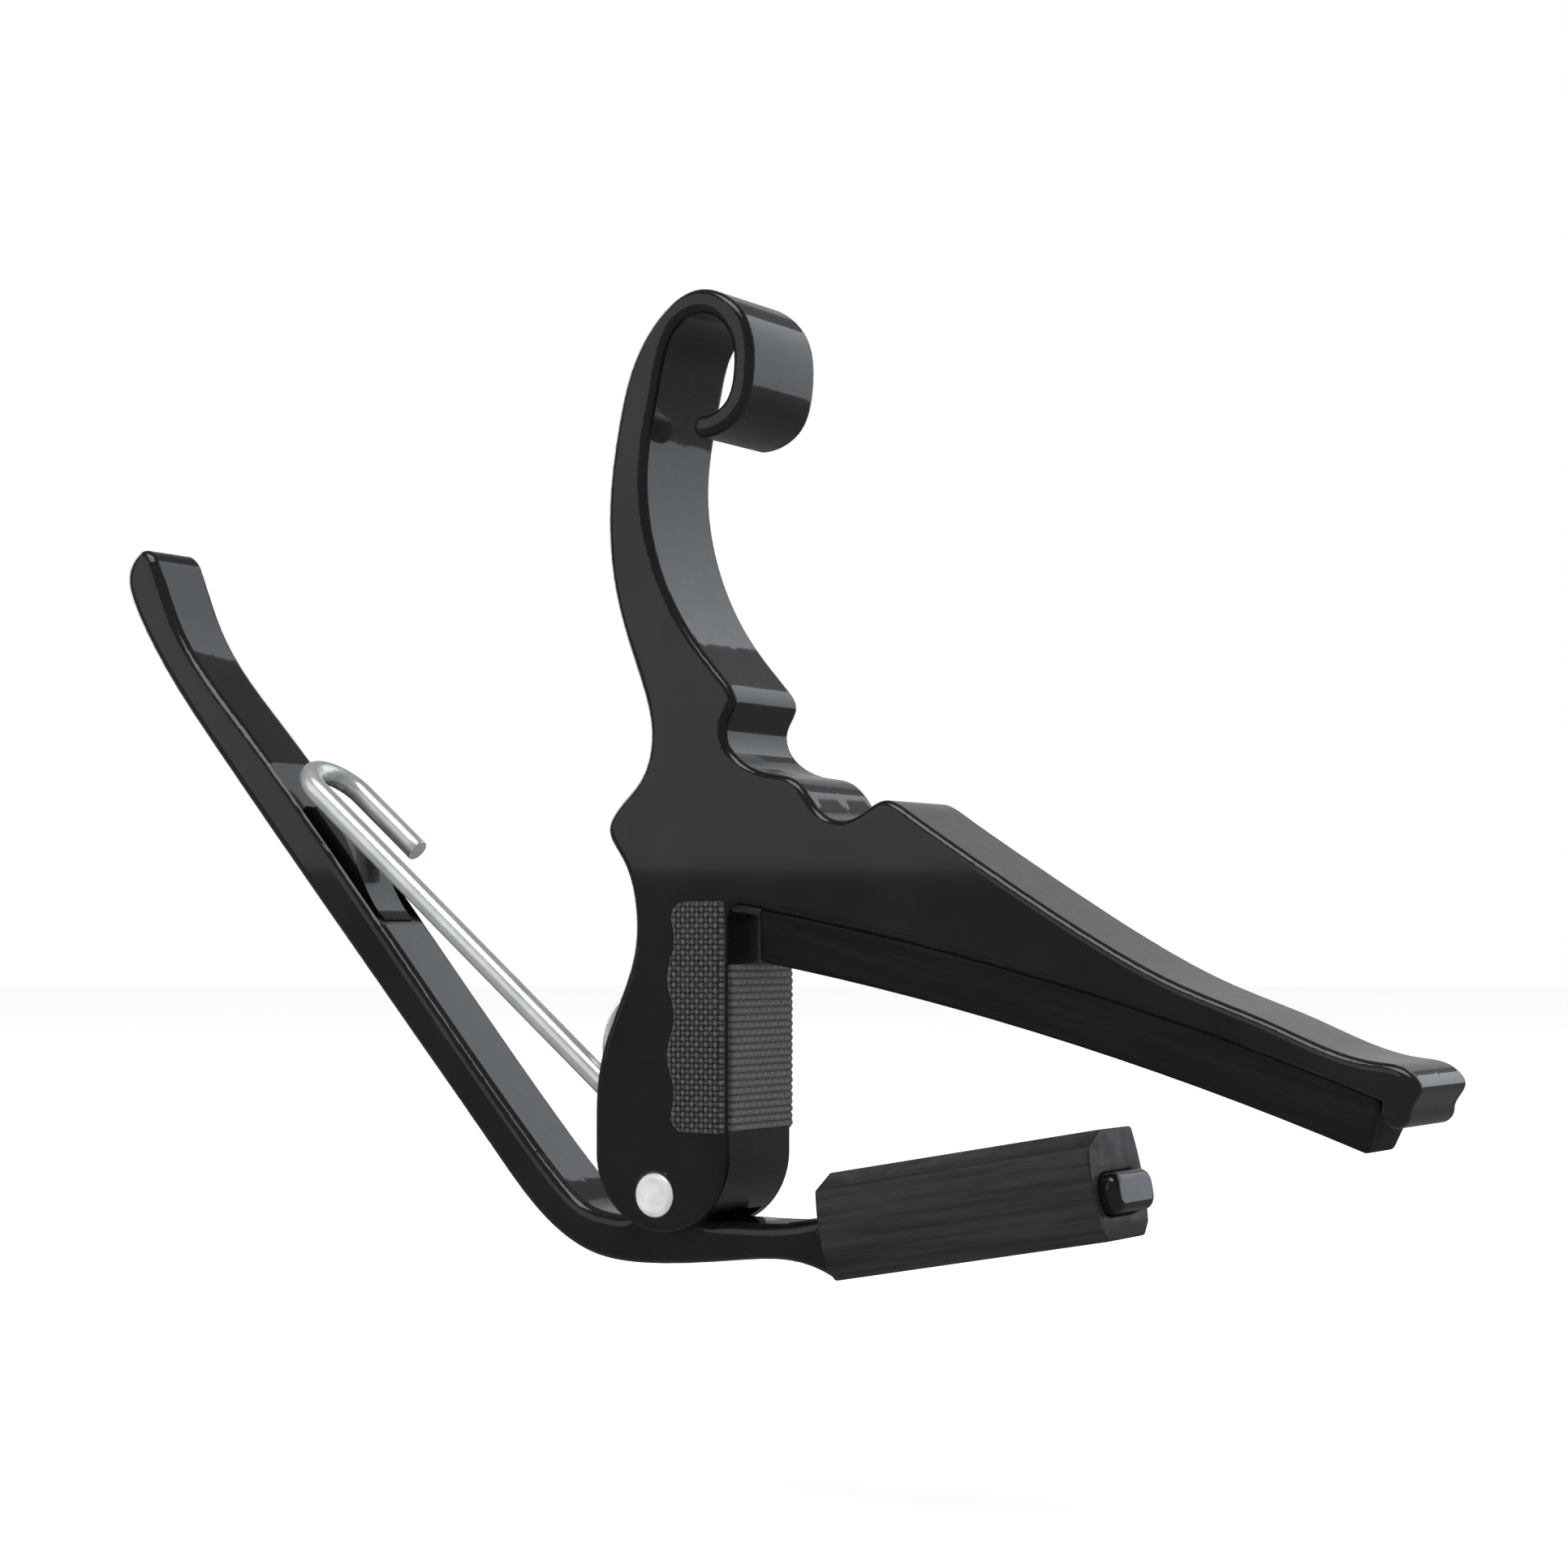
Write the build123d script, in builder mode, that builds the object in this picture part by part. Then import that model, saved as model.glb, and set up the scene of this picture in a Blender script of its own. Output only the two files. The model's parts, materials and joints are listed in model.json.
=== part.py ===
"""Spring-clamp guitar capo: cast frame and lever, rivet, torsion spring, rubber pad, sleeve and cloths.

Millimetres. +X runs along the string bar, +Y across the fingerboard's length, +Z from the fork up
to the strings. The origin is the centre of the front cloth's face, which rests on the neck's edge.
Outlines are drawn on side_plane(), whose own origin is the centre of the pivot pin.
"""

import os
from math import atan2, cos, degrees, radians, sin, sqrt

from build123d import *

# --- frame casting -------------------------------------------------------------------------
BODY_WIDTH = 11.4       # frame, measured along Y
FRAME_EDGE = 0.7        # rounding of the frame's side edges
FORK_FRONT = 7.1        # front face of the fork, in front of the pin
FORK_BACK = 6.3         # back edge of the cheeks, behind the pin
FORK_ROUND_RISE = 3.45  # centre of the fork's rounded foot, above the pin
WEB_WALL = 2.1          # wall that joins the two cheeks
CHEEK_GAP = 8.0         # space between the cheeks
CHANNEL_TOP = 26.5      # top of the space between the cheeks
THROAT_ROUND = 1.2      # inside corner of fork and bar
HORN_BACK = 5.0         # horn behind the throat
THUMB_BACK = 5.1        # bulge of the thumb lever behind the pin
THUMB_HEIGHT = 78.1     # top of the curl above the pin
CURL_REACH = 9.5        # front of the curl
CURL_WALL = 1.95        # thickness of the curled strip
CURL_CENTRE = (3.2, 71.0)

# --- string bar and its rubber pad ---------------------------------------------------------
STRING_RADIUS = 305.0   # fingerboard radius of 12 inches
PAD_MID = (37.9, 13.5)  # middle of the pad's under face
PAD_TILT = 15.4         # slope of the bar there, degrees
PAD_HEIGHT = 4.7
PAD_START = 9.6
BAR_UNDER_END = 65.2    # where the bar's under face meets its nose
BAR_REACH = 68.4        # tip of the nose
BAR_TIP_DEPTH = 2.7
LIP_DROP = 0.9          # straight part of the lip behind the pad's end
LIP_HALF = 1.15
PAD_TOP_WIDTH = 9.0
PAD_BOTTOM_WIDTH = 6.0
PAD_END_GAP = 0.3

# --- pivot ---------------------------------------------------------------------------------
PIN_DIAMETER = 3.9
PIN_PROUD = 0.35        # how far each end stands out of its cheek
PIN_BEVEL = 0.35
PIN_CLEARANCE = 0.05    # radial, in the lever's lug
LUG_RADIUS = 3.5
LUG_FOOT = 1.2          # rounding where the lug meets the lever

# --- lever casting -------------------------------------------------------------------------
LEVER_SIDE_GAP = 0.2    # between the lever and each cheek
LEVER_WIDTH = CHEEK_GAP - 2 * LEVER_SIDE_GAP
LEVER_EDGE = 0.95
HANDLE_THICKNESS = 3.8
STRAIGHT_END = 50.2     # where the handle starts to curl, from the foot of its straight part
HANDLE_TOP = (-50.9, 40.2)   # outer line of the straight part of the handle, top end
HANDLE_FOOT = (-18.0, 2.5)   # and its lower end
HANDLE_TIP = (-61.6, 57.3)
KEEL = 6.15             # lowest point under the pin
ARM_RISE = 10.0         # degrees
ARM_THICKNESS = 3.4
ARM_ROUND = 1.3
ARM_PROUD = 1.5         # arm's end beyond the sleeve
ARM_TIP_ROUND = 0.8
SEAT_MID = (15.85, -3.0)     # middle of the arm where the sleeve starts
RIB_WIDTH = 4.3
RIB_HEIGHT = 1.5
RIB_FROM = 25.0         # from the foot of the handle's straight part
RIB_TO = 39.0
RIB_CREST = 3.0
POCKET_RIM = 0.45       # left standing at each side of the scoop
ARM_ROOT = 4.0          # how far the arm runs back into the lever
POCKET_LENGTH = 19.4
POCKET_DEPTH = 1.7
POCKET_MIDDLE = 34.2    # from the foot of the handle's straight part

# --- neck sleeve ---------------------------------------------------------------------------
SLEEVE_LENGTH = 25.6
SLEEVE_ABOVE = 5.25     # above the arm's middle
SLEEVE_BELOW = 3.75
SLEEVE_WIDTH = 10.0
SLEEVE_SHOULDER = 4.7   # half width above and below the bulge
SLEEVE_BEVEL = 1.3      # height of the bevel along the near side
SLEEVE_TOP_NEAR = -1.8  # the flat top runs from here
SLEEVE_FAR_CORNER = 4.3
SLEEVE_BULGE_UP = 2.6   # widest point, above the underside
SLEEVE_CHAMFER = 1.0
SLEEVE_FOOT = 3.6       # half width of the flat underside
SLEEVE_FIT = 0.04

# --- torsion spring ------------------------------------------------------------------------
WIRE = 2.1
COIL_CENTRE = (-1.9, 12.0)
COIL_RADIUS = 5.4       # of the wire's middle
COIL_TURNS = 2
COIL_GAP = 0.15
HOOK_SPREAD = 6.6       # between the middles of the hook's two legs
LEG_LEAN = 140.0        # direction of the long leg, degrees
LEG_LENGTH = 43.0       # from the coil to the hook's bend
RETURN_LENGTH = 8.4
SPRING_LEG_TOP = 24.6

# --- woven cloths --------------------------------------------------------------------------
CLOTH = 0.5
STRIP_BOTTOM = 5.6
STRIP_HEIGHT = 14.2
STRIP_WIDTH = 9.4
PATCH_BOTTOM = 5.4
PATCH_HEIGHT = 19.8
PATCH_FRONT = 6.2
PATCH_WIDTH = 4.9
PATCH_WAVE = 0.7        # depth of the necks between the lobes
PATCH_LOBES = 3
PATCH_ROUND = 2.2

PIVOT_X = -(FORK_FRONT + CLOTH)
PIVOT_Z = -(STRIP_BOTTOM + STRIP_HEIGHT / 2)
ARC_X = PAD_MID[0] - STRING_RADIUS * sin(radians(PAD_TILT))
ARC_Z = PAD_MID[1] - STRING_RADIUS * cos(radians(PAD_TILT))


def side_plane(y=0.0):
    """Plane seen from the near side, X to the right and Z up, with the pin's centre as its origin."""
    return Plane(origin=(PIVOT_X, y, PIVOT_Z), x_dir=(1, 0, 0), z_dir=(0, -1, 0))


def over_strings(x, rise):
    """Point at x on the arc that lies this far above the strings."""
    return x, ARC_Z + sqrt((STRING_RADIUS + rise) ** 2 - (x - ARC_X) ** 2)


def along(start, direction, distance, offset=0.0):
    """Point at a distance along a direction in degrees, and offset to its left."""
    a = radians(direction)
    return (start[0] + distance * cos(a) - offset * sin(a),
            start[1] + distance * sin(a) + offset * cos(a))


HANDLE_LEAN = degrees(atan2(HANDLE_TOP[1] - HANDLE_FOOT[1], HANDLE_TOP[0] - HANDLE_FOOT[0]))
SEAT_BOTTOM = along(SEAT_MID, ARM_RISE, 0, -SLEEVE_BELOW)


def arm_plane(distance):
    """Plane across the lower arm, its x along Y and its y up, at a distance from the sleeve's start."""
    x, z = along(SEAT_MID, ARM_RISE, distance)
    a = radians(ARM_RISE)
    return Plane(origin=(PIVOT_X + x, 0, PIVOT_Z + z), x_dir=(0, 1, 0), z_dir=(cos(a), 0, sin(a)))


# --- frame ---------------------------------------------------------------------------------
UP, DOWN, LEFT, RIGHT = (0, 1), (0, -1), (-1, 0), (1, 0)
NOSE_X, NOSE_Z = over_strings(BAR_UNDER_END, PAD_HEIGHT)
TIP_TOP = over_strings(BAR_REACH - 3.6, PAD_HEIGHT + BAR_TIP_DEPTH)
CURL_X, CURL_Z = CURL_CENTRE
CURL_INSIDE = CURL_REACH - CURL_WALL
LIP_X, LIP_Z = CURL_X + 1.4, CURL_Z - 3.9

with BuildPart() as frame:
    with BuildSketch(side_plane()):
        with BuildLine():
            FilletPolyline((FORK_FRONT, FORK_ROUND_RISE), over_strings(FORK_FRONT, PAD_HEIGHT),
                           over_strings(FORK_FRONT + 3, PAD_HEIGHT), radius=THROAT_ROUND)
            ThreePointArc(over_strings(FORK_FRONT + 3, PAD_HEIGHT),
                          over_strings(PAD_MID[0], PAD_HEIGHT), (NOSE_X, NOSE_Z))
            # the nose, hooked down behind the pad's end
            Line((NOSE_X, NOSE_Z), (NOSE_X, NOSE_Z - LIP_DROP))
            ThreePointArc((NOSE_X, NOSE_Z - LIP_DROP),
                          (NOSE_X + LIP_HALF, NOSE_Z - LIP_DROP - LIP_HALF),
                          (NOSE_X + 2 * LIP_HALF, NOSE_Z - LIP_DROP))
            # over the nose, along the bar's top, the peak, the scoop, the step, the notch and the bump,
            # then up the inside of the thumb lever and round inside the curl
            Spline((NOSE_X + 2 * LIP_HALF, NOSE_Z - LIP_DROP), (BAR_REACH, NOSE_Z + 1.0),
                   (BAR_REACH - 1.2, NOSE_Z + 2.5), TIP_TOP,
                   over_strings(56, PAD_HEIGHT + 2.6), over_strings(48.6, PAD_HEIGHT + 3.0),
                   over_strings(40.8, PAD_HEIGHT + 4.6), over_strings(30, PAD_HEIGHT + 8.3),
                   over_strings(24.4, PAD_HEIGHT + 10.6), (22.2, 33.5), (20.6, 32.8), (18.5, 31.9),
                   (16.3, 32.5), (14.8, 34.3), (13.2, 35.6), (11.2, 36.0), (8.9, 36.8), (7.2, 38.4),
                   (6.9, 40.1), (7.8, 42.2), (6.6, 44.3), (2.5, 49.4), (-0.4, 55.8), (-1.3, 62.0),
                   (0.1, 70.8), (CURL_X - 1.2, CURL_Z + 4.2), (CURL_X + 1.2, CURL_Z + 5.0),
                   (CURL_INSIDE - 0.6, CURL_Z + 3.3), (CURL_INSIDE, CURL_Z - 0.4),
                   (CURL_INSIDE - 1.0, CURL_Z - 3.1), (LIP_X, LIP_Z), tangents=(UP, LEFT),
                   tangent_scalars=(1, 1))
            ThreePointArc((LIP_X, LIP_Z), (LIP_X - CURL_WALL / 2, LIP_Z - CURL_WALL / 2),
                          (LIP_X, LIP_Z - CURL_WALL))
            # outside of the curl, back of the thumb lever, dip, horn, waist and back of the cheeks
            Spline((LIP_X, LIP_Z - CURL_WALL), (CURL_REACH - 1.3, CURL_Z - 4.3),
                   (CURL_REACH, CURL_Z - 0.6), (CURL_REACH - 0.8, CURL_Z + 4.4),
                   (CURL_X + 1.2, THUMB_HEIGHT), (-1.1, 74.7), (-4.2, 66.6), (-THUMB_BACK, 58.8),
                   (-4.0, 50.6), (-1.7, 44.1), (-0.7, 39.4), (-1.7, 35.9), (-4.0, 33.4),
                   (-HORN_BACK, 31.6), (-3.7, 29.0), (-2.4, 25.4), (-2.3, 21.4), (-4.2, 15.9),
                   (-5.8, 11.5), (-FORK_BACK, 7.0), tangents=(RIGHT, DOWN), tangent_scalars=(1, 1))
            Line((-FORK_BACK, 7.0), (-FORK_BACK, FORK_ROUND_RISE))
            RadiusArc((-FORK_BACK, FORK_ROUND_RISE), (FORK_FRONT, FORK_ROUND_RISE),
                      -(FORK_FRONT + FORK_BACK) / 2)
        make_face()
    extrude(amount=BODY_WIDTH / 2, both=True)
    sides = frame.faces().filter_by(Axis.Y).sort_by(Axis.Y)
    fillet(sides[0].edges() + sides[-1].edges(), FRAME_EDGE)
    # the channel between the cheeks, open at the back and below
    with BuildSketch(side_plane()):
        with Locations((FORK_FRONT - WEB_WALL, CHANNEL_TOP)):
            Rectangle(4 * FORK_FRONT, 6 * FORK_FRONT, align=(Align.MAX, Align.MAX))
    extrude(amount=CHEEK_GAP / 2, both=True, mode=Mode.SUBTRACT)
    with BuildSketch(side_plane()):
        Circle(PIN_DIAMETER / 2)
    extrude(amount=BODY_WIDTH, both=True, mode=Mode.SUBTRACT)

# --- string pad ----------------------------------------------------------------------------
# A trapezoid, wide against the bar, turned about the fingerboard's own axis.
def bar_angle(x):
    """Angle along the strings' arc of a point on the bar's under face, degrees."""
    return degrees(atan2(x - ARC_X, over_strings(x, PAD_HEIGHT)[1] - ARC_Z))


ARC_PLANE = Plane(origin=(PIVOT_X + ARC_X, 0, PIVOT_Z + ARC_Z), x_dir=(0, 1, 0), z_dir=(1, 0, 0))
PAD_FROM, PAD_TO = bar_angle(PAD_START), bar_angle(BAR_UNDER_END - PAD_END_GAP)
with BuildPart() as string_pad:
    with BuildSketch(ARC_PLANE.rotated((0, PAD_FROM, 0))):
        with BuildLine():
            Polyline((-PAD_TOP_WIDTH / 2, STRING_RADIUS + PAD_HEIGHT),
                     (-PAD_BOTTOM_WIDTH / 2, STRING_RADIUS), (PAD_BOTTOM_WIDTH / 2, STRING_RADIUS),
                     (PAD_TOP_WIDTH / 2, STRING_RADIUS + PAD_HEIGHT), close=True)
        make_face()
    revolve(axis=Axis(ARC_PLANE.origin, (0, 1, 0)), revolution_arc=PAD_TO - PAD_FROM)

# --- pivot pin -----------------------------------------------------------------------------
with BuildPart() as pivot_pin:
    with BuildSketch(side_plane()):
        Circle(PIN_DIAMETER / 2)
    extrude(amount=BODY_WIDTH / 2 + PIN_PROUD, both=True)
    chamfer(pivot_pin.edges().filter_by(GeomType.CIRCLE), PIN_BEVEL)

# --- lever ---------------------------------------------------------------------------------
TIP_X, TIP_Z = HANDLE_TIP
ARM_TOP = along(SEAT_MID, ARM_RISE, 0, ARM_THICKNESS / 2)
POCKET_RADIUS = (POCKET_LENGTH ** 2 / 4 + POCKET_DEPTH ** 2) / (2 * POCKET_DEPTH)


def in_handle(distance, depth):
    """Point up the handle from its foot, at a depth in from its outer line."""
    return along(HANDLE_FOOT, HANDLE_LEAN, distance, -depth)


with BuildPart() as lever:
    with BuildSketch(side_plane()) as lever_side:
        with BuildLine():
            # outside: round the handle's end, down its back, round the bend and along under the arm
            Spline((TIP_X + 3.4, TIP_Z + 1.0), (TIP_X + 1.6, TIP_Z + 2.0), HANDLE_TIP,
                   (TIP_X + 0.5, TIP_Z - 2.9), (TIP_X + 2.3, TIP_Z - 6.2), HANDLE_TOP, HANDLE_FOOT,
                   (-12.7, -2.9), (-8.0, -5.5), (-2.5, -KEEL), (6.5, -5.5), (11.8, -5.25), SEAT_BOTTOM)
            Line(SEAT_BOTTOM, ARM_TOP)
            # inside: back under the lug, round the bend and up the handle
            Spline(ARM_TOP, (10.5, -2.2), (5.4, -2.2), (-5.6, -2.0), (-8.3, -1.4), (-11.3, 0.9),
                   in_handle(0, HANDLE_THICKNESS), in_handle(STRAIGHT_END, HANDLE_THICKNESS),
                   (TIP_X + 6.2, TIP_Z - 5.4), (TIP_X + 4.2, TIP_Z - 0.9), (TIP_X + 3.4, TIP_Z + 1.0))
        make_face()
        Circle(LUG_RADIUS)
        feet = lever_side.vertices().filter_by(lambda v: abs(v.X) < LUG_RADIUS and abs(v.Y) < LUG_RADIUS)
        fillet(feet, LUG_FOOT)
    extrude(amount=LEVER_WIDTH / 2, both=True)
    sides = lever.faces().filter_by(Axis.Y).sort_by(Axis.Y)
    fillet(sides[0].edges() + sides[-1].edges(), LEVER_EDGE)
    # the scoop under the spring's hook, and the rib the hook straddles
    with BuildSketch(side_plane()):
        with Locations(in_handle(POCKET_MIDDLE, HANDLE_THICKNESS - POCKET_DEPTH + POCKET_RADIUS)):
            Circle(POCKET_RADIUS)
    extrude(amount=LEVER_WIDTH / 2 - POCKET_RIM, both=True, mode=Mode.SUBTRACT)
    with BuildSketch(side_plane()):
        with BuildLine():
            crest = Spline(in_handle(RIB_FROM, HANDLE_THICKNESS),
                           in_handle((RIB_FROM + RIB_TO) / 2, HANDLE_THICKNESS + 0.75 * RIB_HEIGHT),
                           in_handle(RIB_TO - RIB_CREST, HANDLE_THICKNESS + RIB_HEIGHT),
                           in_handle(RIB_TO, HANDLE_THICKNESS))
            Polyline(crest @ 1, in_handle(RIB_TO, HANDLE_THICKNESS - POCKET_DEPTH),
                     in_handle(RIB_FROM, HANDLE_THICKNESS - POCKET_DEPTH), crest @ 0)
        make_face()
    extrude(amount=RIB_WIDTH / 2, both=True)
    # the arm the sleeve is pushed on to
    with BuildSketch(arm_plane(-ARM_ROOT)):
        RectangleRounded(LEVER_WIDTH, ARM_THICKNESS, ARM_ROUND)
    extrude(amount=ARM_ROOT + SLEEVE_LENGTH + ARM_PROUD)
    fillet(lever.faces().sort_by(Axis.X)[-1].edges(), ARM_TIP_ROUND)
    with BuildSketch(side_plane()):
        Circle(PIN_DIAMETER / 2 + PIN_CLEARANCE)
    extrude(amount=LEVER_WIDTH, both=True, mode=Mode.SUBTRACT)

# --- neck sleeve ---------------------------------------------------------------------------
with BuildPart() as neck_sleeve:
    with BuildSketch(arm_plane(0)):
        with BuildLine():
            # near side: a wide bevel above; far side: an upright corner
            near = Spline((-SLEEVE_SHOULDER, SLEEVE_ABOVE - SLEEVE_BEVEL),
                          (-SLEEVE_WIDTH / 2, -SLEEVE_BELOW + SLEEVE_BULGE_UP),
                          (-SLEEVE_SHOULDER, -SLEEVE_BELOW + SLEEVE_CHAMFER))
            far = Spline((SLEEVE_FAR_CORNER, SLEEVE_ABOVE),
                         (SLEEVE_WIDTH / 2, -SLEEVE_BELOW + SLEEVE_BULGE_UP),
                         (SLEEVE_SHOULDER, -SLEEVE_BELOW + SLEEVE_CHAMFER))
            Polyline(near @ 1, (-SLEEVE_FOOT, -SLEEVE_BELOW), (SLEEVE_FOOT, -SLEEVE_BELOW), far @ 1)
            Polyline(near @ 0, (SLEEVE_TOP_NEAR, SLEEVE_ABOVE), far @ 0)
        make_face()
        RectangleRounded(LEVER_WIDTH + 2 * SLEEVE_FIT, ARM_THICKNESS + 2 * SLEEVE_FIT,
                         ARM_ROUND + SLEEVE_FIT, mode=Mode.SUBTRACT)
    extrude(amount=SLEEVE_LENGTH)

# --- torsion spring ------------------------------------------------------------------------
COIL_Y = CHEEK_GAP / 2 - WIRE / 2 - COIL_GAP
TURN = 360 * COIL_TURNS + 90 - (LEG_LEAN - 180)
SPLAY = degrees(atan2(HOOK_SPREAD / 2 - COIL_Y, LEG_LENGTH))


def on_coil(angle, y):
    """Point of the coil's wire at an angle about the coil's middle."""
    x, z = along(COIL_CENTRE, angle, COIL_RADIUS)
    return Vector(PIVOT_X + x, y, PIVOT_Z + z)


LEG_FOOT = on_coil(LEG_LEAN + 90, -COIL_Y)
LEG_WAY = Vector(1, 0, 0).rotate(Axis.Z, -SPLAY).rotate(Axis.Y, -LEG_LEAN)
HOOK_PLANE = Plane(origin=LEG_FOOT, x_dir=LEG_WAY, z_dir=Vector(0, 0, 1).rotate(Axis.Y, -LEG_LEAN))
COIL_STEPS = 28
COIL_POINTS = [on_coil(LEG_LEAN + 90 + TURN * k / COIL_STEPS, COIL_Y * (2 * k / COIL_STEPS - 1))
               for k in range(COIL_STEPS + 1)]
with BuildPart() as torsion_spring:
    with BuildLine() as hook_line:
        with BuildLine(HOOK_PLANE):
            Line((LEG_LENGTH - RETURN_LENGTH, HOOK_SPREAD), (LEG_LENGTH, HOOK_SPREAD))
            ThreePointArc((LEG_LENGTH, HOOK_SPREAD), (LEG_LENGTH + HOOK_SPREAD / 2, HOOK_SPREAD / 2),
                          (LEG_LENGTH, 0))
            Line((LEG_LENGTH, 0), (0, 0))
        Spline(COIL_POINTS, tangents=(-LEG_WAY, Vector(0, 0, 1)), tangent_scalars=(1, 1))
        Line(COIL_POINTS[-1], COIL_POINTS[-1] + Vector(0, 0, SPRING_LEG_TOP - COIL_CENTRE[1]))
    with BuildSketch(Plane(origin=hook_line.line @ 0, z_dir=hook_line.line % 0)):
        Circle(WIRE / 2)
    sweep(path=hook_line.line)

# --- woven cloths --------------------------------------------------------------------------
with BuildPart() as front_strip:
    with BuildSketch(Plane.YZ.offset(-CLOTH)):
        Rectangle(STRIP_WIDTH, STRIP_HEIGHT)
    extrude(amount=CLOTH)


def cheek_patch(y, thickness):
    """Cloth on the face of a cheek at y: straight in front, cut wavy behind."""
    lobe = PATCH_FRONT - PATCH_WIDTH
    top, wave = PATCH_BOTTOM + PATCH_HEIGHT, PATCH_HEIGHT / (2 * PATCH_LOBES)
    rear = [(lobe + PATCH_WAVE * (k % 2), top - wave * (k + 1)) for k in range(2 * PATCH_LOBES - 1)]
    with BuildPart() as patch:
        with BuildSketch(side_plane(y)):
            with BuildLine():
                Spline((lobe + PATCH_ROUND, top), *rear, (lobe + PATCH_ROUND, PATCH_BOTTOM),
                       tangents=(LEFT, RIGHT), tangent_scalars=(1, 1))
                Polyline((lobe + PATCH_ROUND, PATCH_BOTTOM), (PATCH_FRONT, PATCH_BOTTOM),
                         (PATCH_FRONT, top), (lobe + PATCH_ROUND, top))
            make_face()
        extrude(amount=thickness)
    return patch


cheek_patch_near = cheek_patch(-BODY_WIDTH / 2, CLOTH)
cheek_patch_far = cheek_patch(BODY_WIDTH / 2, -CLOTH)

# --- hand over -----------------------------------------------------------------------------
os.makedirs("parts", exist_ok=True)
frame.part.label = "frame"
export_step(frame.part, "parts/frame.step")
lever.part.label = "lever"
export_step(lever.part, "parts/lever.step")
pivot_pin.part.label = "pivot_pin"
export_step(pivot_pin.part, "parts/pivot_pin.step")
torsion_spring.part.label = "torsion_spring"
export_step(torsion_spring.part, "parts/torsion_spring.step")
string_pad.part.label = "string_pad"
export_step(string_pad.part, "parts/string_pad.step")
neck_sleeve.part.label = "neck_sleeve"
export_step(neck_sleeve.part, "parts/neck_sleeve.step")
front_strip.part.label = "front_strip"
export_step(front_strip.part, "parts/front_strip.step")
cheek_patch_near.part.label = "cheek_patch_near"
export_step(cheek_patch_near.part, "parts/cheek_patch_near.step")
cheek_patch_far.part.label = "cheek_patch_far"
export_step(cheek_patch_far.part, "parts/cheek_patch_far.step")
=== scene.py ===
"""Looks of the spring-clamp guitar capo.

Enamelled castings, a steel spring and rivet, moulded rubber and woven cloth. Metres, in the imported
model's own frame: +X out of the jaw's cloth face, +Y along the neck, +Z up.
"""

import json
import logging
import math
from dataclasses import dataclass, field
from enum import Enum

import bmesh
import bpy
from mathutils import Matrix, Vector

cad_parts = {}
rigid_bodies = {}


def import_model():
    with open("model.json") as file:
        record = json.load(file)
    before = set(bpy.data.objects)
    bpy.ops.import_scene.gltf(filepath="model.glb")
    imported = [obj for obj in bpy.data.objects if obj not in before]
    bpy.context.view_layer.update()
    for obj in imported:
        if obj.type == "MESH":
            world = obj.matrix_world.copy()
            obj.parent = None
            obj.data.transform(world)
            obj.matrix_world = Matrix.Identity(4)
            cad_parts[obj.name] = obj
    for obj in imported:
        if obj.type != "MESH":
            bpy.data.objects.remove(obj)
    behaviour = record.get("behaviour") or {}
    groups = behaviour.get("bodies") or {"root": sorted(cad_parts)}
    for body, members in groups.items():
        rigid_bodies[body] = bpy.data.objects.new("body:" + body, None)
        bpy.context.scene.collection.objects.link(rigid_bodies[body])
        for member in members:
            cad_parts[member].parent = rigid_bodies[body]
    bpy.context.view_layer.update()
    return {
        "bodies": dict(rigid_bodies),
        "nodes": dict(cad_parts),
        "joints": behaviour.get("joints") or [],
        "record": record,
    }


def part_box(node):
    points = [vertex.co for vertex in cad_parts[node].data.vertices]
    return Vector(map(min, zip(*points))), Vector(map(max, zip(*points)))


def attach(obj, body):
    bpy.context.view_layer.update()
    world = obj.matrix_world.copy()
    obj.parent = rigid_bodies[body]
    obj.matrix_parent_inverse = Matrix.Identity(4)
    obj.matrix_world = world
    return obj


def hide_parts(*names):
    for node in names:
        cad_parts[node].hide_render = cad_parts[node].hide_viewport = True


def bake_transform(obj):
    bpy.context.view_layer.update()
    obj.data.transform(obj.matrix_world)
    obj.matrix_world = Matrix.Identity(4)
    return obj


log = logging.getLogger("capo")
MM = 0.001
FORK_EDGE = 0.7 * MM            # rounding of the fork's side edges
LEVER_OPENS = math.radians(30)  # from rest to fully open

Triple = tuple[float, float, float]


class Slot(Enum):
    """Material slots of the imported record."""

    ENAMEL = "black_enamel"
    STEEL = "bright_steel"
    PAD = "pad_rubber"
    SLEEVE = "sleeve_rubber"
    RIBBED = "ribbed_cloth"
    WOVEN = "woven_cloth"


class Weave(Enum):
    """How the yarns of a cloth lie."""

    RIBBED = "ribbed"
    PLAIN = "plain"


# --- finishes ------------------------------------------------------------------------------


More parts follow.
